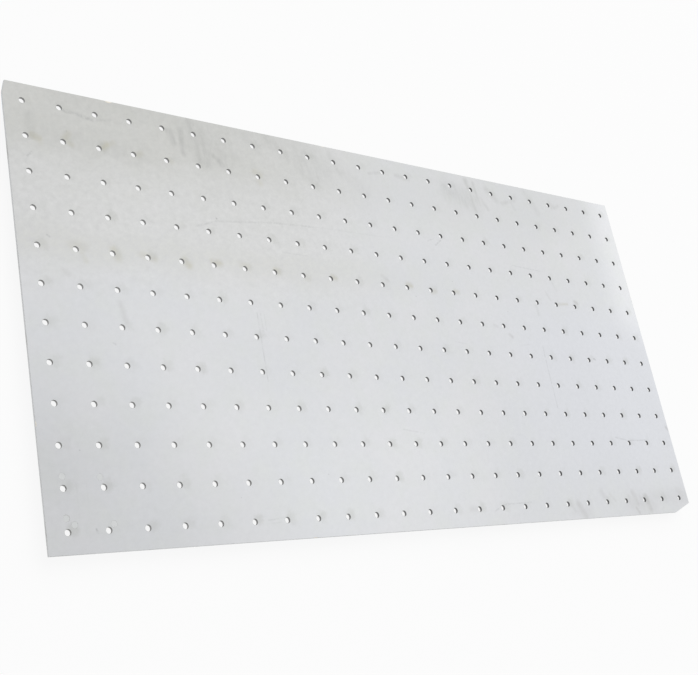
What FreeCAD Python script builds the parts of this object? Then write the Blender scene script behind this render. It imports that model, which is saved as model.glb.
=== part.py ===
import FreeCAD, Part
import os

# A flat scaffold deck board: five crossed veneers between two film faces, drilled on a
# square grid, with its cut edges and its hole walls painted. +X runs along the board,
# +Z is the walking face, and the origin is the centre of the underside. Millimetres.

# Driving dimensions
PITCH = 100.0            # hole to hole, both ways
COLUMNS = 24             # holes along X
ROWS = 12                # holes along Y
HOLE_DIAMETER = 16.0     # clear opening, inside the paint
FILM = 0.3               # each film face
LONG_VENEER = 1.3        # veneers with their grain along X
CROSS_VENEER = 1.25      # veneers with their grain along Y
PAINT = 0.3              # sealing coat on the edges and in the holes
CUT_CORNER = (90.0, 30.0)     # sawn off the +X -Y corner, along X and along Y
KNOCKED_CORNER = (9.0, 35.0)  # worn off the -X +Y corner, along X and along Y

# Worked out from them: the margin round the holes is half a pitch
LENGTH = COLUMNS * PITCH
WIDTH = ROWS * PITCH
HOLE_RADIUS = HOLE_DIAMETER / 2

# The layers from the underside up: name and thickness
LAYERS = (
    ("bottom_film", FILM),
    ("back_veneer", LONG_VENEER),
    ("lower_cross_veneer", CROSS_VENEER),
    ("core_veneer", LONG_VENEER),
    ("upper_cross_veneer", CROSS_VENEER),
    ("face_veneer", LONG_VENEER),
    ("top_film", FILM),
)
THICKNESS = sum(thickness for name, thickness in LAYERS)

# Holes drilled in the wrong place and plugged again near the -X -Y corner: distance from the
# centre of the first hole there along X and Y, and how far the plug's top lies below the face
PLUGS = (
    (0.0, 128.0, 0.1),
    (93.0, 124.0, 0.1),
    (0.0, 32.0, 0.6),
    (18.0, 16.5, 0.1),
    (114.5, 14.5, 0.1),
)


def grid():
    """The centre of every open hole."""
    for row in range(ROWS):
        for column in range(COLUMNS):
            yield (
                (column + 0.5) * PITCH - LENGTH / 2,
                (row + 0.5) * PITCH - WIDTH / 2,
            )


def plug_places():
    """The centre of every plugged hole, and its plug's recess."""
    for along, across, recess in PLUGS:
        yield along + (PITCH - LENGTH) / 2, across + (PITCH - WIDTH) / 2, recess


def outline():
    """The board's edge as a closed wire at z = 0."""
    x, y = LENGTH / 2, WIDTH / 2
    cut_x, cut_y = CUT_CORNER
    worn_x, worn_y = KNOCKED_CORNER
    corners = [
        (-x, -y),
        (x - cut_x, -y),
        (x, -y + cut_y),
        (x, y),
        (-x + worn_x, y),
        (-x, y - worn_y),
    ]
    points = [FreeCAD.Vector(px, py, 0) for px, py in corners + corners[:1]]
    return Part.makePolygon(points)


def inner_outline():
    """The edge of the layers, inside the paint."""
    return outline().makeOffset2D(-PAINT, 2)


def circle(x, y, radius):
    centre = FreeCAD.Vector(x, y, 0)
    return Part.Wire(Part.makeCircle(radius, centre))


def plate(wires, bottom, thickness):
    """A flat plate from its outer wire and the wires of its openings."""
    face = Part.makeFace(wires, "Part::FaceMakerBullseye")
    solid = face.extrude(FreeCAD.Vector(0, 0, thickness))
    solid.translate(FreeCAD.Vector(0, 0, bottom))
    return solid


def layer(bottom, thickness):
    """One film or veneer, with every drilled hole in it."""
    wires = [inner_outline()]
    wires += [circle(x, y, HOLE_RADIUS + PAINT) for x, y in grid()]
    wires += [circle(x, y, HOLE_RADIUS) for x, y, recess in plug_places()]
    return plate(wires, bottom, thickness)


def edge_paint():
    """The coat round the board's edge, as deep as the board."""
    return plate([outline(), inner_outline()], 0, THICKNESS)


def hole_paint():
    """The coat on every hole's wall: one sleeve in each hole."""
    sleeves = []
    for x, y in grid():
        wires = [circle(x, y, HOLE_RADIUS + PAINT), circle(x, y, HOLE_RADIUS)]
        sleeves.append(plate(wires, 0, THICKNESS))
    return Part.makeCompound(sleeves)


def repair_plugs():
    """A filler plug in each hole that was drilled in the wrong place."""
    plugs = []
    for x, y, recess in plug_places():
        plugs.append(plate([circle(x, y, HOLE_RADIUS)], 0, THICKNESS - recess))
    return Part.makeCompound(plugs)


def save(name, shape):
    shape.exportStep(f"parts/{name}.step")
    print(f"{name}: {len(shape.Solids)} solids, {shape.Volume / 1000:.1f} cm3")


os.makedirs("parts", exist_ok=True)
bottom = 0.0
for name, thickness in LAYERS:
    save(name, layer(bottom, thickness))
    bottom += thickness
save("edge_paint", edge_paint())
save("hole_paint", hole_paint())
save("repair_plugs", repair_plugs())
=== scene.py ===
import math

import bpy
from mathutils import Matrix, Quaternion, Vector, noise
from mathutils.geometry import delaunay_2d_cdt


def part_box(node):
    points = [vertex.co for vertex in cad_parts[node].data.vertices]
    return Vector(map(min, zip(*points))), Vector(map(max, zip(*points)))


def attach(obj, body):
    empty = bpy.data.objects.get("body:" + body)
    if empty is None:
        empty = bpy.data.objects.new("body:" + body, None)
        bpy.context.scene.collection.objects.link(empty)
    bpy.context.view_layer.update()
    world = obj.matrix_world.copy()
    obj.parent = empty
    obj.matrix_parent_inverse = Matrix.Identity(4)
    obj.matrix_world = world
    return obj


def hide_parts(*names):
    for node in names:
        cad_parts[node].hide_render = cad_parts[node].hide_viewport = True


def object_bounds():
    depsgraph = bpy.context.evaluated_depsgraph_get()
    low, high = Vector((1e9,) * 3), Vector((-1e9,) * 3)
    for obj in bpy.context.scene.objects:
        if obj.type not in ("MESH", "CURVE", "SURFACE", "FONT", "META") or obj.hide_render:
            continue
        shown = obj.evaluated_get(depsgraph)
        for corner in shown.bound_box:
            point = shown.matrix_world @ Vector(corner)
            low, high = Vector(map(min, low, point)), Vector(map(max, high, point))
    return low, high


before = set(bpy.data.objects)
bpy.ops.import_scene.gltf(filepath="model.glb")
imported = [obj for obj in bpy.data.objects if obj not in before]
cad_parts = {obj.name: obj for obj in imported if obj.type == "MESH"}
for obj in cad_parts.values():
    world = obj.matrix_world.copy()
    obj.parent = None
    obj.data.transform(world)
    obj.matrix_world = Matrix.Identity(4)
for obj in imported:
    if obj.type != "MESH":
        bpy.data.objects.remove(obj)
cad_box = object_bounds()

# A flat deck board, seen from above its near left corner. Metres, in the frame's own axes:
# +X runs along the board, +Y to its far edge and +Z out of the walking face.

COLUMNS, ROWS = 24, 12
LOW, HIGH = cad_box
TOP = HIGH.z
PITCH = (HIGH.x - LOW.x) / COLUMNS
HOLE_RADIUS = 0.008          # clear opening, inside the paint
PAINT = 0.0003               # sealing coat on the edges and in the holes
CUT_CORNER = (0.090, 0.030)      # sawn off the near right corner, along X and along Y
KNOCKED_CORNER = (0.009, 0.035)  # worn off the far left corner, along X and along Y
HOLE_SEGMENTS = 48
EDGE_STEP = 0.004            # spacing of the points along the board's edge
LIP = 0.00022                # radius of the film's rounded lips

# The plugged holes: column and row of the centre, and how far the plug's top lies low
PLUGS = (
    (0.0, 9.72, 0.0001),
    (0.93, 9.76, 0.0001),
    (0.0, 10.68, 0.0006),
    (0.18, 10.835, 0.0001),
    (1.145, 10.855, 0.0001),
)

# Chips in the film's edge: column and row, depth, half width
CHIPS = (
    (2.45, -0.5, 0.0040, 0.011),
    (9.7, -0.5, 0.0015, 0.007),
    (-0.5, 8.5, 0.0020, 0.008),
    (23.5, 3.3, 0.0015, 0.008),
    (6.8, 11.5, 0.0015, 0.007),
)

CAMERA_FROM = Vector((-2.251, -1.023, TOP + 2.279))
CAMERA_AT = Vector((-0.225, -0.032, TOP))
CAMERA_ROLL = math.radians(59.7)
CAMERA_LENS = 57.56          # on a 36 mm wide sensor
FLOOR_DROP = 0.033           # the floor lies this far below the board

PLY = (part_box("face_veneer")[1].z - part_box("back_veneer")[0].z) / 5   # mean veneer thickness

# The floor and the light
FLOOR_TONE = 0.11            # how much light it reflects
FLOOR_GLOW = 0.857           # how much it gives out, evenly, as a lit studio table does
SKY = 0.66
KEY_PLACE = Vector((9.0, 15.0, 25.0))
KEY_SIZE = 40.0
KEY_POWER = 6850

# Film colours
BLUISH_FILM = (0.640, 0.652, 0.672, 1)
LILAC_FILM = (0.658, 0.664, 0.680, 1)
GREENISH_FILM = (0.648, 0.664, 0.662, 1)
COOL_FILM = (0.652, 0.666, 0.702, 1)
WARM_FILM = (0.632, 0.633, 0.624, 1)


# ---------------------------------------------------------------- places

def at_hole(column, row):
    """The point of the board at a column and a row, counted from the far left hole."""
    x = LOW.x + (column + 0.5) * PITCH
    y = HIGH.y - (row + 0.5) * PITCH
    return Vector((x, y))


def open_holes():
    return [at_hole(c, r) for r in range(ROWS) for c in range(COLUMNS)]


def chip_at(point):
    """How far the film's edge is chipped back at a point of the outline."""
    depth = 0.0
    for column, row, most, half in CHIPS:
        away = (point - at_hole(column, row)).length / half
        if away < 1:
            depth = max(depth, most * (1 - away * away))
    return depth


def outline():
    """Points along the board's edge with their outward normals, counter-clockwise."""
    cut_x, cut_y = CUT_CORNER
    worn_x, worn_y = KNOCKED_CORNER
    corners = [
        Vector((LOW.x, LOW.y)),
        Vector((HIGH.x - cut_x, LOW.y)),
        Vector((HIGH.x, LOW.y + cut_y)),
        Vector((HIGH.x, HIGH.y)),
        Vector((LOW.x + worn_x, HIGH.y)),
        Vector((LOW.x, HIGH.y - worn_y)),
    ]
    normals = []
    for i, here in enumerate(corners):
        along = corners[(i + 1) % len(corners)] - here
        normals.append(Vector((along.y, -along.x)).normalized())
    points = []
    for i, here in enumerate(corners):
        there = corners[(i + 1) % len(corners)]
        mitre = normals[i - 1] + normals[i]
        points.append((here, mitre / mitre.dot(normals[i])))
        steps = max(round((there - here).length / EDGE_STEP), 2)
        points += [(here.lerp(there, k / steps), normals[i]) for k in range(1, steps)]
    return points


# ---------------------------------------------------------------- meshes

def mesh_object(name, vertices, faces, smooth, material):
    """A piece of the board, from its points and faces, riding on the frame's one body."""
    mesh = bpy.data.meshes.new(name)
    mesh.from_pydata(vertices, [], faces)
    mesh.polygons.foreach_set("use_smooth", smooth)
    mesh.materials.append(material)
    mesh.validate()
    piece = bpy.data.objects.new(name, mesh)
    bpy.context.scene.collection.objects.link(piece)
    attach(piece, "root")
    return piece


def hole_loop(centre, radius):
    """Points round a hole, clockwise, so that a plate's material lies to their left."""
    turn = -2 * math.pi / HOLE_SEGMENTS
    spokes = [(math.cos(turn * k), math.sin(turn * k)) for k in range(HOLE_SEGMENTS)]
    return [centre + Vector(spoke) * radius for spoke in spokes]


def covered(loops):
    """Triangles over the area inside the first loop and outside the others."""
    points, edges, owner = [], [], []
    for number, loop in enumerate(loops):
        first, count = len(points), len(loop)
        points += loop
        owner += [number] * count
        edges += [(first + k, first + (k + 1) % count) for k in range(count)]
    made = delaunay_2d_cdt(points, edges, [], 1, 1e-7)
    original = [sources[0] for sources in made[3]]
    triangles = []
    for face in made[2]:
        corners = [original[k] for k in face]
        owners = {owner[k] for k in corners}
        if len(owners) > 1 or owners == {0}:
            triangles.append(corners)
    return triangles


def plate(name, edge, holes, profile, material):
    """A flat plate. profile runs from its upper plane to its lower one, as pairs of how far
    the wall stands back into the material and the height."""
    levels = []
    for inset, height in profile:
        level = [[point - normal * inset for point, normal in edge]]
        level += [hole_loop(centre, radius + inset) for centre, radius in holes]
        levels.append(level)
    size = sum(len(loop) for loop in levels[0])
    vertices = []
    for level, (inset, height) in zip(levels, profile):
        vertices += [(p.x, p.y, height) for loop in level for p in loop]
    upper = covered(levels[0])
    last = size * (len(levels) - 1)
    faces = [tuple(t) for t in upper]
    faces += [tuple(last + k for k in reversed(t)) for t in upper]
    smooth = [False] * len(faces)
    for number in range(len(levels) - 1):
        first = 0
        for loop in levels[0]:
            count = len(loop)
            for k in range(count):
                a = number * size + first + k
                b = number * size + first + (k + 1) % count
                faces.append((a, a + size, b + size, b))
            first += count
    smooth += [True] * (len(faces) - len(smooth))
    return mesh_object(name, vertices, faces, smooth, material)


def hoops(name, rings, material):
    """Closed hoops. Each is a list of stations, and a station a list of points of its section."""
    vertices, faces = [], []
    for stations in rings:
        first, count, sides = len(vertices), len(stations), len(stations[0])
        vertices += [point for station in stations for point in station]
        for k in range(count):
            here, there = first + k * sides, first + (k + 1) % count * sides
            for s in range(sides):
                t = (s + 1) % sides
                faces.append((here + s, there + s, there + t, here + t))
    return mesh_object(name, vertices, faces, [True] * len(faces), material)


def sharpen(piece, degrees):
    piece.data.set_sharp_from_angle(angle=math.radians(degrees))


def rounded(top, bottom, radius, steps=3):
    """A profile with a round lip at the top and a square edge below."""
    profile = []
    for k in range(steps + 1):
        turn = math.pi / 2 * k / steps
        profile.append((radius * (1 - math.sin(turn)), top - radius * (1 - math.cos(turn))))
    return profile + [(0.0, bottom)]


def flipped(profile):
    """The same profile for the underside's film."""
    middle = profile[0][1] + profile[-1][1]
    return [(inset, middle - height) for inset, height in reversed(profile)]


# ---------------------------------------------------------------- node materials

class Shader:
    """One material's nodes. A value may be a number, a tuple or another node's socket."""

    def __init__(self, name, roughness, specular=0.5):
        self.material = bpy.data.materials.new(name)
        self.material.use_nodes = True
        self.tree = self.material.node_tree
        self.surface = self.tree.nodes["Principled BSDF"]
        self.surface.inputs["Roughness"].default_value = roughness
        self.surface.inputs["Specular IOR Level"].default_value = specular
        self.place = self.node("ShaderNodeTexCoord").outputs["Object"]

    def node(self, kind, **settings):
        node = self.tree.nodes.new(kind)
        for key, value in settings.items():
            setattr(node, key, value)
        return node

    def set(self, socket, value):
        if isinstance(value, bpy.types.NodeSocket):
            self.tree.links.new(value, socket)
        else:
            socket.default_value = value

    def math(self, operation, a, b=0.0, c=0.0):
        node = self.node("ShaderNodeMath", operation=operation)
        for socket, value in zip(node.inputs, (a, b, c)):
            self.set(socket, value)
        return node.outputs[0]

    def times(self, *values):
        total = values[0]
        for value in values[1:]:
            total = self.math("MULTIPLY", total, value)
        return total

    def plus(self, *values):
        total = values[0]
        for value in values[1:]:
            total = self.math("ADD", total, value)
        return total

    def vector(self, operation, a, b=(0, 0, 0), scale=1.0):
        node = self.node("ShaderNodeVectorMath", operation=operation)
        self.set(node.inputs[0], a)
        self.set(node.inputs[1], b)
        if operation == "SCALE":
            self.set(node.inputs["Scale"], scale)
        single = operation in ("LENGTH", "DISTANCE", "DOT_PRODUCT")
        return node.outputs["Value" if single else "Vector"]

    def split(self, vector):
        node = self.node("ShaderNodeSeparateXYZ")
        self.set(node.inputs[0], vector)
        return node.outputs

    def join(self, x, y, z=0.0):
        node = self.node("ShaderNodeCombineXYZ")
        for socket, value in zip(node.inputs, (x, y, z)):
            self.set(socket, value)
        return node.outputs[0]

    def noise(self, place, scale, detail=2.0, roughness=0.5, distortion=0.0):
        node = self.node("ShaderNodeTexNoise")
        self.set(node.inputs["Vector"], place)
        node.inputs["Scale"].default_value = scale
        node.inputs["Detail"].default_value = detail
        node.inputs["Roughness"].default_value = roughness
        node.inputs["Distortion"].default_value = distortion
        return node.outputs["Fac"]

    def chance(self, place):
        """A random number for each whole-numbered place."""
        node = self.node("ShaderNodeTexWhiteNoise", noise_dimensions="3D")
        self.set(node.inputs["Vector"], place)
        return node.outputs["Value"]

    def rise(self, value, low, high):
        """0 below low, 1 above high, and smooth between. high may be under low."""
        node = self.node("ShaderNodeMapRange", interpolation_type="SMOOTHSTEP")
        self.set(node.inputs["Value"], value)
        if low < high:
            node.inputs["From Min"].default_value = low
            node.inputs["From Max"].default_value = high
            return node.outputs["Result"]
        node.inputs["From Min"].default_value = high
        node.inputs["From Max"].default_value = low
        node.inputs["To Min"].default_value = 1.0
        node.inputs["To Max"].default_value = 0.0
        return node.outputs["Result"]

    def blend(self, amount, a, b, how="MIX"):
        node = self.node("ShaderNodeMix", data_type="RGBA", blend_type=how)
        self.set(node.inputs["Factor"], amount)
        self.set(node.inputs[6], a)
        self.set(node.inputs[7], b)
        return node.outputs[2]

    def bump(self, height, depth):
        node = self.node("ShaderNodeBump")
        node.inputs["Distance"].default_value = depth
        self.set(node.inputs["Height"], height)
        self.set(self.surface.inputs["Normal"], node.outputs[0])

    def colour(self, value):
        self.set(self.surface.inputs["Base Color"], value)

    def roughness(self, value):
        self.set(self.surface.inputs["Roughness"], value)


def stroke_group():
    """A node group: 1 on the line between two points, and down to 0 at a width from it."""
    group = bpy.data.node_groups.new("stroke", "ShaderNodeTree")
    for name in ("Place", "From", "To"):
        group.interface.new_socket(name, in_out="INPUT", socket_type="NodeSocketVector")
    group.interface.new_socket("Width", in_out="INPUT", socket_type="NodeSocketFloat")
    group.interface.new_socket("Amount", in_out="OUTPUT", socket_type="NodeSocketFloat")
    inside = Shader.__new__(Shader)
    inside.tree = group
    given = group.nodes.new("NodeGroupInput").outputs
    wanted = group.nodes.new("NodeGroupOutput").inputs
    here = inside.vector("SUBTRACT", given["Place"], given["From"])
    whole = inside.vector("SUBTRACT", given["To"], given["From"])
    share = inside.math(
        "DIVIDE",
        inside.vector("DOT_PRODUCT", here, whole),
        inside.vector("DOT_PRODUCT", whole, whole),
    )
    share = inside.math("MINIMUM", inside.math("MAXIMUM", share, 0.0), 1.0)
    nearest = inside.vector("SCALE", whole, scale=share)
    away = inside.vector("LENGTH", inside.vector("SUBTRACT", here, nearest))
    amount = inside.rise(inside.math("DIVIDE", away, given["Width"]), 1.0, 0.0)
    inside.set(wanted["Amount"], amount)
    return group


def strokes(shader, grid, marks):
    """The darkest of several marks. A mark is its points, its width and its strength."""
    total = 0.0
    for points, width, strength in marks:
        for start, end in zip(points, points[1:]):
            node = shader.node("ShaderNodeGroup", node_tree=STROKE)
            shader.set(node.inputs["Place"], grid)
            node.inputs["From"].default_value = (*start, 0)
            node.inputs["To"].default_value = (*end, 0)
            node.inputs["Width"].default_value = width
            amount = shader.times(node.outputs[0], strength)
            total = amount if total == 0.0 else shader.math("MAXIMUM", total, amount)
    return total


def painted_light_amounts(shader, grid):
    """How much each broad patch of painted light and shade lightens or darkens the face."""
    amounts = []
    for mark in PAINTED_LIGHT_AND_SHADE:
        amounts.append(strokes(shader, grid, [mark]))
    return amounts


# Marks on the walking face, in holes from the far left one: points, width, strength. The
# first list is broad, faint painted light and shade, partly the film's own uneven tone;
# a positive strength is painted light that pales the film, a negative one painted shade.
PAINTED_LIGHT_AND_SHADE = (
    ([(-1.5, -1.0), (-1.5, 12.0)], 6.0, -0.025),
    ([(-0.9, 10.2), (-0.7, 12.2)], 2.8, -0.060),
    ([(-0.5, -0.7), (9.0, -0.7)], 1.0, -0.040),
    ([(1.0, 10.2), (4.2, 11.6)], 3.8, -0.085),
    ([(-0.5, 3.5), (0.5, 8.0)], 3.0, -0.030),
    ([(-0.6, 11.7), (2.5, 11.8)], 1.8, -0.030),
    ([(-0.8, 7.6), (-0.8, 9.4)], 2.0, -0.035),
    ([(-0.7, -0.4), (0.2, -0.5)], 0.9, 0.040),
    ([(6.0, 10.8), (11.0, 9.8)], 5.0, 0.055),
    ([(23.7, -0.6), (23.5, 3.6)], 2.1, 0.150),
    ([(21.5, 1.5), (22.2, 8.5)], 3.2, 0.030),
    ([(23.9, 5.0), (23.9, 7.0)], 1.4, 0.035),
    ([(19.8, 11.6), (23.4, 11.4)], 1.2, -0.015),
)
RUST = (
    ([(0.17, 0.96), (0.34, 1.02)], 0.17, 1.00),
    ([(0.30, 1.08), (0.36, 1.16)], 0.12, 0.45),
    ([(1.06, 0.88), (1.16, 0.74)], 0.17, 0.80),
    ([(1.16, 1.00), (1.24, 1.04)], 0.14, 0.55),
    ([(2.12, 0.96), (2.24, 0.84)], 0.16, 1.00),
    ([(2.32, 0.82), (2.44, 0.76)], 0.13, 0.50),
    ([(3.10, 1.00), (3.22, 0.94)], 0.16, 0.55),
    ([(4.08, 0.97), (4.16, 1.00)], 0.15, 0.40),
    ([(6.92, 0.86), (7.06, 0.92)], 0.20, 0.60),
    ([(7.00, 1.14), (7.04, 1.20)], 0.18, 0.45),
    ([(0.92, 3.88), (1.22, 3.92)], 0.22, 0.50),
    ([(1.16, 4.10), (1.24, 4.30)], 0.14, 0.35),
    ([(2.04, 3.88), (2.14, 4.10)], 0.22, 0.60),
    ([(2.80, 3.94), (3.20, 4.02)], 0.18, 0.45),
    ([(4.10, 3.98), (4.22, 4.10)], 0.20, 0.80),
    ([(4.98, 3.92), (5.20, 3.92)], 0.18, 0.85),
    ([(5.90, 3.88), (6.12, 3.92)], 0.18, 0.45),
    ([(7.04, 3.94), (7.12, 3.98)], 0.17, 0.60),
    ([(9.08, 3.93), (9.18, 3.96)], 0.15, 0.85),
    ([(8.10, 4.06), (8.20, 4.10)], 0.16, 0.40),
    ([(12.04, 3.90), (12.18, 3.92)], 0.16, 0.90),
    ([(13.06, 4.06), (13.20, 4.02)], 0.15, 0.60),
    ([(14.10, 3.94), (14.22, 3.96)], 0.14, 0.70),
    ([(19.12, 3.98), (19.62, 3.93)], 0.10, 0.60),
)
SMEARS = (
    ([(4.90, 0.20), (5.90, 0.45)], 0.80, 0.42),
    ([(8.70, 0.05), (9.60, 0.35)], 0.70, 0.32),
    ([(14.9, 0.20), (16.0, 0.45)], 0.70, 0.48),
    ([(0.14, 0.40), (0.18, 0.96)], 0.24, 0.50),
    ([(0.62, 0.92), (3.10, 0.98)], 0.50, 0.22),
    ([(4.20, 0.02), (4.32, 0.40)], 0.18, 1.00),
    ([(4.58, -0.05), (4.60, 0.66)], 0.19, 1.00),
    ([(4.90, -0.35), (5.10, 0.80)], 0.26, 0.75),
    ([(5.25, -0.20), (5.35, 0.85)], 0.24, 0.75),
    ([(5.58, 0.58), (5.80, 0.80)], 0.18, 1.00),
    ([(5.95, 0.20), (6.35, 0.45)], 0.16, 0.35),
    ([(6.75, -0.30), (7.20, 0.15)], 0.24, 0.30),
    ([(7.55, -0.35), (8.25, 0.18)], 0.34, 0.38),
    ([(8.45, 0.45), (9.25, 0.95)], 0.30, 0.30),
    ([(8.62, -0.10), (8.72, 0.45)], 0.10, 0.45),
    ([(8.92, -0.15), (8.95, 0.70)], 0.14, 0.45),
    ([(9.18, 0.15), (9.28, 0.75)], 0.12, 0.40),
    ([(9.88, -0.25), (10.18, 0.40)], 0.18, 0.40),
    ([(10.35, 0.30), (11.10, 0.85)], 0.34, 0.25),
    ([(11.40, 0.14), (11.90, 0.04)], 0.10, 0.50),
    ([(12.58, 0.02), (13.08, 0.08)], 0.13, 0.55),
    ([(14.72, 0.02), (14.95, 0.34)], 0.20, 0.60),
    ([(15.20, 0.02), (15.62, 0.62)], 0.30, 0.50),
    ([(15.84, -0.35), (16.02, 0.80)], 0.17, 0.65),
    ([(16.20, -0.30), (16.28, 0.55)], 0.12, 0.50),
    ([(16.40, 0.25), (16.66, 0.66)], 0.13, 0.45),
    ([(16.80, -0.15), (17.20, 0.24)], 0.22, 0.45),
    ([(17.45, 0.30), (18.15, 0.10)], 0.13, 0.45),
    ([(17.98, 0.25), (18.08, 0.45)], 0.11, 0.40),
    ([(18.85, -0.30), (19.30, 0.42)], 0.26, 0.35),
    ([(20.20, 0.12), (20.62, -0.08)], 0.13, 0.45),
    ([(18.60, 3.55), (18.75, 3.85)], 0.09, 0.30),
    ([(19.05, 3.10), (19.20, 3.45)], 0.09, 0.30),
    ([(17.90, 4.12), (17.93, 4.46)], 0.10, 0.35),
)
SMUDGES = (
    ([(20.3, 11.05), (21.3, 11.15)], 0.60, 0.32),
    ([(21.6, 10.90), (23.3, 10.95)], 0.45, 0.25),
    ([(17.3, 11.15), (17.9, 11.30)], 0.45, 0.22),
    ([(17.10, 10.95), (17.28, 11.22)], 0.15, 0.45),
    ([(17.52, 11.02), (17.72, 11.38)], 0.26, 0.62),
    ([(18.80, 10.66), (18.98, 10.92)], 0.20, 0.42),
    ([(19.22, 10.74), (19.42, 10.96)], 0.12, 0.30),
    ([(20.46, 10.74), (20.58, 11.12)], 0.22, 0.62),
    ([(21.08, 10.92), (21.24, 11.32)], 0.24, 0.72),
    ([(20.46, 11.26), (20.54, 11.42)], 0.13, 0.75),
    ([(20.80, 10.92), (21.00, 11.02)], 0.18, 0.45),
    ([(23.00, 10.75), (23.40, 10.90)], 0.26, 0.35),
    ([(23.40, 8.42), (23.47, 8.50)], 0.11, 0.90),
    ([(20.06, 3.80), (20.16, 3.84)], 0.12, 0.80),
    ([(16.20, 5.30), (16.30, 5.36)], 0.11, 0.70),
    ([(2.02, 5.36), (2.14, 5.80)], 0.14, 0.35),
    ([(12.65, 10.98), (13.00, 11.00)], 0.16, 0.35),
    ([(15.55, 5.00), (15.70, 5.04)], 0.10, 0.35),
    ([(0.62, 4.62), (0.72, 4.70)], 0.12, 0.35),
    ([(11.05, 3.70), (11.25, 3.84)], 0.12, 0.45),
)
SCRATCHES = (
    ([(1.10, 0.06), (1.50, 0.10), (1.90, 0.19)], 0.090, 0.62),
    ([(2.06, 0.15), (2.50, 0.08)], 0.090, 0.34),
    ([(4.60, 2.90), (5.30, 2.65), (6.07, 2.57), (7.28, 2.44), (8.70, 2.38)], 0.055, 0.34),
    ([(8.70, 2.38), (9.00, 2.36), (10.90, 2.36), (11.90, 2.33)], 0.045, 0.15),
    ([(7.40, 3.34), (8.30, 3.36)], 0.035, 0.22),
    ([(13.35, 2.26), (13.65, 2.13)], 0.035, 0.40),
    ([(13.68, 2.36), (13.96, 2.16)], 0.045, 0.65),
    ([(6.15, 5.30), (6.13, 7.25)], 0.036, 0.42),
    ([(6.26, 5.30), (6.26, 5.85)], 0.032, 0.26),
    ([(6.38, 5.32), (6.37, 5.80)], 0.032, 0.22),
    ([(17.72, 5.60), (17.69, 6.40), (17.69, 7.80)], 0.045, 0.40),
    ([(17.20, 2.70), (17.90, 2.74), (18.70, 2.78)], 0.036, 0.42),
    ([(20.30, 8.80), (21.00, 8.91), (22.00, 8.90)], 0.042, 0.50),
    ([(10.60, 8.56), (11.40, 8.68)], 0.045, 0.28),
    ([(13.65, 11.08), (14.10, 10.90), (15.30, 10.88)], 0.040, 0.38),
    ([(13.60, 5.70), (14.10, 5.74)], 0.035, 0.20),
    ([(16.80, 5.62), (17.05, 5.60)], 0.035, 0.28),
    ([(-0.02, 1.58), (0.12, 1.46)], 0.060, 0.60),
    ([(0.69, 10.96), (0.73, 11.05)], 0.040, 0.75),
    ([(5.42, 10.98), (6.05, 10.92)], 0.040, 0.30),
    ([(5.50, 11.06), (5.80, 11.04)], 0.035, 0.22),
    ([(1.70, 6.42), (1.76, 6.46)], 0.045, 0.50),
    ([(20.28, 5.94), (20.36, 5.97)], 0.060, 0.90),
    ([(5.32, 2.56), (5.33, 2.57)], 0.045, 0.85),
    ([(0.28, 3.70), (0.34, 3.74)], 0.045, 0.60),
    ([(0.32, 9.90), (0.32, 10.66)], 0.030, 0.11),
    ([(0.57, 9.90), (0.57, 10.66)], 0.030, 0.09),
    ([(0.32, 9.90), (0.57, 9.90)], 0.030, 0.08),
)


def film_material(name, marked):
    """Light grey resin film. marked adds the walking face's stains, smears and scratches,
    and its broad painted light and shade.
    """
    shader = Shader(name, roughness=0.5, specular=0.35)
    x, y, z = shader.split(shader.place)
    column = shader.math("DIVIDE", shader.math("SUBTRACT", x, LOW.x + PITCH / 2), PITCH)
    row = shader.math("DIVIDE", shader.math("SUBTRACT", HIGH.y - PITCH / 2, y), PITCH)
    grid = shader.join(column, row)

    clouds = shader.noise(grid, 0.35, 3.0, 0.55)
    mottle = shader.noise(shader.vector("ADD", grid, (31.0, 7.0, 0.0)), 1.1, 4.0, 0.6)
    grime = shader.noise(grid, 5.0, 5.0, 0.65)
    colour = shader.blend(shader.rise(clouds, 0.35, 0.65), BLUISH_FILM, LILAC_FILM)
    colour = shader.blend(shader.times(shader.rise(mottle, 0.4, 0.7), 0.7), colour, GREENISH_FILM)
    height = shader.times(shader.noise(grid, 90.0, 2.0), 0.2)
    if marked:
        colour, height = walked_on(shader, grid, column, row, grime, colour, height)
    else:
        colour, height = rubbed(shader, grid, row, grime, colour, height)
    shader.colour(colour)
    gloss = shader.times(shader.rise(mottle, 0.3, 0.7), 0.08)
    shader.roughness(shader.plus(0.44, gloss, shader.times(grime, 0.08)))
    shader.bump(height, 0.0002)
    return shader.material


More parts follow.
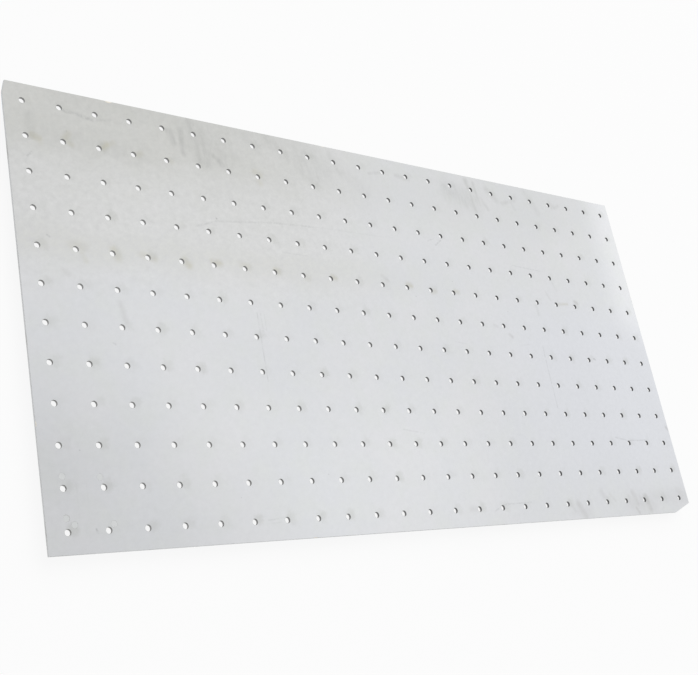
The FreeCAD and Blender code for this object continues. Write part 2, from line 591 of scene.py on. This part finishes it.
def walked_on(shader, grid, column, row, grime, colour, height):
    """The walking face's wear: haze, stained holes, smears and scratches,
    and broad painted light and shade.
    """
    brushed = shader.noise(shader.vector("MULTIPLY", grid, (7.0, 2.2, 1.0)), 1.0, 4.0, 0.6)
    drift = shader.noise(shader.vector("ADD", grid, (3.0, 17.0, 0.0)), 0.75, 3.0)
    across = shader.plus(row, shader.times(shader.math("SUBTRACT", drift, 0.5), 1.3))

    # the film has yellowed a little at the far left, and is cooler towards the near right
    warm = shader.times(shader.rise(column, 13.0, 7.0), shader.rise(row, 5.6, 3.6))
    colour = shader.blend(shader.times(warm, 0.6), colour, WARM_FILM)
    cool = shader.times(shader.rise(column, 13.0, 19.0), shader.rise(row, 3.0, 5.5))
    cool = shader.times(cool, shader.rise(row, 11.6, 8.8))
    colour = shader.blend(shader.times(cool, 0.8), colour, COOL_FILM)

    # water haze along the far edge, thick at the left
    along = shader.plus(0.34, shader.times(shader.rise(column, 13.0, 3.5), 0.66))
    along = shader.times(along, shader.rise(column, 24.0, 20.0))
    depth = shader.plus(
        shader.times(shader.rise(across, 2.1, 0.6), 0.55),
        shader.times(shader.rise(across, 4.8, 0.8), 0.45),
    )
    texture = shader.plus(0.62, shader.times(brushed, 0.40), shader.times(grime, 0.36))
    haze = shader.times(along, depth, texture, 0.44)
    colour = shader.blend(haze, colour, (0.425, 0.427, 0.384, 1))

    # a faint stained band along the fifth row of holes, over the joist below it
    off_band = shader.math("ABSOLUTE", shader.math("SUBTRACT", across, 3.85))
    band = shader.times(
        shader.rise(off_band, 0.75, 0.1),
        shader.rise(column, 17.0, 6.0),
        shader.rise(grime, 0.2, 0.8),
    )
    colour = shader.blend(shader.times(band, 0.20), colour, (0.46, 0.47, 0.38, 1))

    # dirt that settles to the right of each hole, more at some than at others
    cell = shader.vector("FLOOR", shader.vector("ADD", grid, (0.5, 0.5, 0.5)))
    luck = shader.chance(cell)
    beside = shader.vector("SUBTRACT", shader.vector("SUBTRACT", grid, cell), (0.13, -0.05, 0.0))
    ragged = shader.plus(
        shader.vector("LENGTH", beside), shader.times(shader.math("SUBTRACT", grime, 0.5), 0.30)
    )
    dirt = shader.times(
        shader.rise(ragged, 0.24, 0.03), shader.plus(0.12, shader.times(luck, luck, 0.5))
    )
    colour = shader.blend(shader.times(dirt, 0.45), colour, (0.40, 0.41, 0.37, 1))

    # rusty stains beside the holes of the second and the fifth row
    patchy = shader.rise(grime, 0.25, 0.70)
    rust = shader.times(strokes(shader, grid, RUST), shader.plus(0.35, shader.times(patchy, 0.65)))
    colour = shader.blend(shader.times(rust, 0.50), colour, (0.41, 0.385, 0.265, 1))

    # smears and smudges, streaked by a brush or a boot, then the fine scratches
    streaks = shader.plus(0.45, shader.times(shader.rise(brushed, 0.32, 0.62), 0.55))
    smears = shader.times(strokes(shader, grid, SMEARS), streaks)
    colour = shader.blend(shader.times(smears, 0.50), colour, (0.36, 0.365, 0.355, 1))
    streaks = shader.plus(0.4, shader.times(streaks, 0.6))
    smudges = shader.times(strokes(shader, grid, SMUDGES), streaks)
    colour = shader.blend(shader.times(smudges, 0.50), colour, (0.37, 0.36, 0.35, 1))
    faint = shader.rise(shader.noise(grid, 11.0, 3.0, 0.6), 0.30, 0.62)
    scratches = shader.times(strokes(shader, grid, SCRATCHES), faint)
    colour = shader.blend(shader.times(scratches, 0.60), colour, (0.30, 0.31, 0.31, 1))
    height = shader.math("SUBTRACT", height, scratches)

    # specks of dirt, scattered in some cells only
    dots = shader.node("ShaderNodeTexVoronoi", feature="F1")
    shader.set(dots.inputs["Vector"], grid)
    dots.inputs["Scale"].default_value = 1.7
    near_dot = shader.rise(dots.outputs["Distance"], 0.045, 0.020)
    lucky = shader.rise(shader.split(dots.outputs["Color"])[0], 0.62, 0.90)
    colour = shader.blend(shader.times(near_dot, lucky, 0.30), colour, (0.25, 0.25, 0.24, 1))

    # scuffs, wiped on a slant, and strongest where the film has yellowed
    wiped = shader.join(
        shader.math("SUBTRACT", column, shader.times(row, 0.6)),
        shader.times(shader.plus(row, shader.times(column, 0.6)), 1.6),
    )
    scuffs = shader.math("SUBTRACT", shader.noise(wiped, 4.5, 5.0, 0.72), 0.5)
    blotches = shader.times(shader.math("SUBTRACT", grime, 0.5), 1.7)
    left_weighted = shader.plus(0.06, shader.times(warm, 0.09))
    scuffs = shader.times(shader.plus(scuffs, blotches), left_weighted)

    # broad painted light and shade, partly the film's own tone: painted shade darkens the film
    # towards the near left corner, and painted light pales it towards the far right one
    scuffs_and_painted_light = shader.plus(1.0, scuffs, *painted_light_amounts(shader, grid))
    return shader.vector("SCALE", colour, scale=scuffs_and_painted_light), height


def rubbed(shader, grid, row, grime, colour, height):
    """The underside's wear: pale rubbed bands where it lay on joists, and drag marks."""
    brushed = shader.noise(shader.vector("MULTIPLY", grid, (1.2, 9.0, 1.0)), 1.0, 4.0, 0.6)
    for joist in (1.0, 4.0, 10.0):
        off = shader.math("ABSOLUTE", shader.math("SUBTRACT", row, joist))
        rub = shader.times(shader.rise(off, 0.42, 0.28), shader.rise(brushed, 0.35, 0.65))
        colour = shader.blend(shader.times(rub, 0.30), colour, (0.50, 0.49, 0.45, 1))
        height = shader.math("SUBTRACT", height, shader.times(rub, 0.2))
    cell = shader.vector("FLOOR", shader.vector("ADD", grid, (0.5, 0.5, 0.5)))
    away = shader.vector("LENGTH", shader.vector("SUBTRACT", grid, cell))
    ragged = shader.plus(away, shader.times(shader.math("SUBTRACT", grime, 0.5), 0.30))
    ring = shader.times(shader.rise(ragged, 0.26, 0.08), shader.chance(cell))
    colour = shader.blend(shader.times(ring, 0.30), colour, (0.40, 0.41, 0.37, 1))
    return colour, height


def edge_paint_material():
    """Grey sealing paint, brushed along the edge, with the plies just showing through."""
    shader = Shader("edge_sealing_paint", roughness=0.6, specular=0.3)
    x, y, z = shader.split(shader.place)
    ply = shader.math("FRACT", shader.math("DIVIDE", shader.math("SUBTRACT", z, LOW.z), PLY))
    joint = shader.rise(shader.math("ABSOLUTE", shader.math("SUBTRACT", ply, 0.5)), 0.36, 0.47)
    streaks = shader.noise(shader.vector("MULTIPLY", shader.place, (9, 9, 900)), 1.0, 4.0, 0.6)
    patches = shader.noise(shader.place, 9.0, 4.0)
    colour = shader.blend(streaks, (0.600, 0.610, 0.618, 1), (0.690, 0.698, 0.705, 1))
    colour = shader.blend(shader.times(joint, 0.30), colour, (0.42, 0.42, 0.40, 1))
    dirt = shader.rise(patches, 0.52, 0.78)
    colour = shader.blend(shader.times(dirt, 0.55), colour, (0.36, 0.35, 0.32, 1))
    shader.colour(colour)
    shader.roughness(shader.plus(0.50, shader.times(streaks, 0.20)))
    shader.bump(shader.math("SUBTRACT", streaks, joint), 0.0001)
    return shader.material


def hole_paint_and_shade_material():
    """Matt dark grey sealing paint, swept round the holes' walls, paler towards the left end
    and in blotches. Part of its dark grey is painted shade inside the holes.
    """
    shader = Shader("hole_sealing_paint_and_shade", roughness=0.65, specular=0.25)
    streaks = shader.noise(shader.vector("MULTIPLY", shader.place, (1, 1, 6)), 160.0, 3.0)
    patches = shader.noise(shader.place, 12.0, 3.0)
    x, y, z = shader.split(shader.place)
    blotches = shader.times(shader.rise(patches, 0.55, 0.8), 0.25)
    left_weighted = shader.plus(shader.rise(x, 0.7, LOW.x), blotches)
    # dark grey, partly sealing paint and partly painted shade inside the holes
    colour = shader.blend(streaks, (0.115, 0.116, 0.119, 1), (0.172, 0.173, 0.176, 1))
    colour = shader.blend(shader.times(left_weighted, 0.60), colour, (0.450, 0.450, 0.442, 1))
    shader.colour(colour)
    shader.roughness(shader.plus(0.55, shader.times(streaks, 0.2)))
    shader.bump(streaks, 0.0001)
    return shader.material


def veneer_material(name, stretch):
    """Bare peeled wood. stretch squeezes the place across the grain, which runs the other way."""
    shader = Shader(name, roughness=0.65, specular=0.3)
    place = shader.vector("MULTIPLY", shader.place, stretch)
    figure = shader.noise(place, 3.0, 4.0, 0.6, 0.6)
    fibres = shader.noise(place, 45.0, 4.0, 0.7)
    colour = shader.blend(figure, (0.72, 0.66, 0.56, 1), (0.82, 0.78, 0.70, 1))
    colour = shader.blend(shader.rise(fibres, 0.45, 0.75), colour, (0.63, 0.56, 0.46, 1))
    shader.colour(colour)
    shader.roughness(shader.plus(0.55, shader.times(fibres, 0.25)))
    shader.bump(fibres, 0.0002)
    return shader.material


def filler_material():
    """Light grey filler rubbed flush, with pinholes, mixed a little differently each time.
    Its greys carry the darkening of the film round the plugs, partly painted shade.
    """
    shader = Shader("plug_filler", roughness=0.62, specular=0.25)
    batch = shader.noise(shader.place, 14.0, 0.0)
    cloud = shader.noise(shader.place, 60.0, 4.0)
    pits = shader.noise(shader.place, 900.0, 2.0)
    mix = shader.rise(batch, 0.35, 0.65)
    # greys darkened like the film at the near left corner, partly painted shade
    colour = shader.blend(mix, (0.574, 0.588, 0.588, 1), (0.612, 0.622, 0.624, 1))
    colour = shader.blend(shader.times(cloud, 0.5), colour, (0.600, 0.612, 0.614, 1))
    colour = shader.blend(shader.rise(pits, 0.66, 0.8), colour, (0.50, 0.50, 0.48, 1))
    shader.colour(colour)
    shader.roughness(shader.plus(0.55, shader.times(cloud, 0.15)))
    shader.bump(pits, 0.0002)
    return shader.material


# ---------------------------------------------------------------- the board

def film_pieces():
    """Both films: full sheets with a rounded lip at each hole and chips along the edge."""
    edge = [(p - n * (PAINT + chip_at(p)), n) for p, n in outline()]
    holes = [(centre, HOLE_RADIUS + PAINT) for centre in open_holes()]
    holes += [(at_hole(c, r), HOLE_RADIUS) for c, r, recess in PLUGS]
    low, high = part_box("top_film")
    upper = plate(
        "walking_film", edge, holes, rounded(high.z, low.z, LIP),
        film_material("film_walked_on", True),
    )
    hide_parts("top_film")
    low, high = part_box("bottom_film")
    lower = plate(
        "underside_film", edge, holes, flipped(rounded(high.z, low.z, LIP)),
        film_material("film_underside", False),
    )
    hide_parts("bottom_film")


def edge_paint_piece(paint):
    """The coat round the edge, lower where the film above it is chipped away."""
    stations = []
    for point, normal in outline():
        inner = point - normal * PAINT
        chip = chip_at(point) * 0.2
        wobble = 0.00012 * (1 + noise.noise(Vector((point.x, point.y, 0)) * 60))
        top = TOP - chip
        round_off = point - normal * wobble
        section = [(inner, LOW.z), (round_off, LOW.z), (point, LOW.z + PAINT)]
        section += [(point, top - PAINT), (round_off, top), (inner, top)]
        stations.append([(p.x, p.y, height) for p, height in section])
    piece = hoops("painted_edge", [stations], paint)
    sharpen(piece, 50)
    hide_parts("edge_paint")


def hole_paint_piece(paint):
    """A sleeve of paint in every hole, with a softened mouth at both ends."""
    soft = PAINT * 0.6
    section = [
        (HOLE_RADIUS + PAINT, LOW.z),
        (HOLE_RADIUS + soft, LOW.z),
        (HOLE_RADIUS, LOW.z + soft),
        (HOLE_RADIUS, TOP - soft),
        (HOLE_RADIUS + soft, TOP),
        (HOLE_RADIUS + PAINT, TOP),
    ]
    rings = []
    for centre in open_holes():
        loops = [hole_loop(centre, radius) for radius, height in section]
        heights = [height for radius, height in section]
        stations = []
        for points in zip(*loops):
            stations.append([(p.x, p.y, h) for p, h in zip(points, heights)])
        rings.append(stations)
    piece = hoops("painted_holes", rings, paint)
    sharpen(piece, 50)
    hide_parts("hole_paint")


def plug_piece(filler):
    """Filler plugs: a slightly dished top inside a rounded rim."""
    vertices, faces = [], []
    for column, row, recess in PLUGS:
        centre, top = at_hole(column, row), TOP - recess
        rings = [(HOLE_RADIUS, LOW.z), (HOLE_RADIUS, top - 0.0003)]
        rings += [(HOLE_RADIUS - 0.0003, top), (HOLE_RADIUS * 0.6, top - 0.00008)]
        rings += [(HOLE_RADIUS * 0.25, top - 0.00012)]
        first = len(vertices)
        for radius, height in rings:
            vertices += [(p.x, p.y, height) for p in hole_loop(centre, radius)]
        for level in range(len(rings) - 1):
            for k in range(HOLE_SEGMENTS):
                a = first + level * HOLE_SEGMENTS + k
                b = first + level * HOLE_SEGMENTS + (k + 1) % HOLE_SEGMENTS
                faces.append((a, a + HOLE_SEGMENTS, b + HOLE_SEGMENTS, b))
        last = first + (len(rings) - 1) * HOLE_SEGMENTS
        faces.append(tuple(reversed(range(last, last + HOLE_SEGMENTS))))
        faces.append(tuple(range(first, first + HOLE_SEGMENTS)))
    piece = mesh_object("plugs", vertices, faces, [True] * len(faces), filler)
    sharpen(piece, 40)
    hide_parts("repair_plugs")


def finish_veneers():
    """The veneers stay as they are in the frame and get bare wood, with crossed grain."""
    along = veneer_material("veneer_grain_along", (1, 14, 14))
    across = veneer_material("veneer_grain_across", (14, 1, 14))
    for name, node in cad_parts.items():
        if name.endswith("veneer"):
            node.data.materials.clear()
            node.data.materials.append(across if "cross" in name else along)


# ---------------------------------------------------------------- the studio

def studio_floor():
    """A wide, plain pale floor under the board. It glows evenly all over, like the lit
    ground that the photo shows through the holes."""
    shader = Shader("studio_floor", roughness=0.9, specular=0.0)
    shader.surface.inputs["Base Color"].default_value = (FLOOR_TONE, FLOOR_TONE, FLOOR_TONE, 1)
    shader.surface.inputs["Emission Color"].default_value = (1, 1, 1, 1)
    shader.surface.inputs["Emission Strength"].default_value = FLOOR_GLOW
    reach, height = 40.0, LOW.z - FLOOR_DROP
    rings, spokes = 6, 48
    vertices = [(0, 0, height)]
    for ring in range(1, rings + 1):
        radius = reach * (ring / rings) ** 3
        for k in range(spokes):
            turn = 2 * math.pi * k / spokes
            vertices.append((radius * math.cos(turn), radius * math.sin(turn), height))
    faces = [(0, 1 + k, 1 + (k + 1) % spokes) for k in range(spokes)]
    for ring in range(rings - 1):
        for k in range(spokes):
            a = 1 + ring * spokes + k
            b = 1 + ring * spokes + (k + 1) % spokes
            faces.append((a, a + spokes, b + spokes, b))
    mesh = bpy.data.meshes.new("floor")
    mesh.from_pydata(vertices, [], faces)
    mesh.materials.append(shader.material)
    floor = bpy.data.objects.new("floor", mesh)
    bpy.context.scene.collection.objects.link(floor)


def studio_light():
    """An even sky and one wide, distant key light beyond the far right corner, so the
    shadow falls softly to the near left."""
    world = bpy.data.worlds.new("studio")
    world.use_nodes = True
    world.node_tree.nodes["Background"].inputs["Color"].default_value = (1, 1, 1, 1)
    world.node_tree.nodes["Background"].inputs["Strength"].default_value = SKY
    bpy.context.scene.world = world
    data = bpy.data.lights.new("key", "AREA")
    data.shape = "SQUARE"
    data.size = KEY_SIZE
    data.energy = KEY_POWER
    key = bpy.data.objects.new("key", data)
    key.location = KEY_PLACE
    key.rotation_mode = "QUATERNION"
    key.rotation_quaternion = (-KEY_PLACE).to_track_quat("-Z", "Y")
    bpy.context.scene.collection.objects.link(key)


def studio_camera():
    data = bpy.data.cameras.new("camera")
    data.lens, data.sensor_width = CAMERA_LENS, 36.0
    camera = bpy.data.objects.new("camera", data)
    aim = (CAMERA_AT - CAMERA_FROM).to_track_quat("-Z", "Y")
    camera.location = CAMERA_FROM
    camera.rotation_mode = "QUATERNION"
    camera.rotation_quaternion = aim @ Quaternion((0, 0, 1), CAMERA_ROLL)
    bpy.context.scene.collection.objects.link(camera)
    bpy.context.scene.camera = camera


STROKE = stroke_group()
film_pieces()
edge_paint_piece(edge_paint_material())
hole_paint_piece(hole_paint_and_shade_material())
plug_piece(filler_material())
finish_veneers()
studio_floor()
studio_light()
studio_camera()
bpy.context.scene.view_settings.view_transform = "Standard"
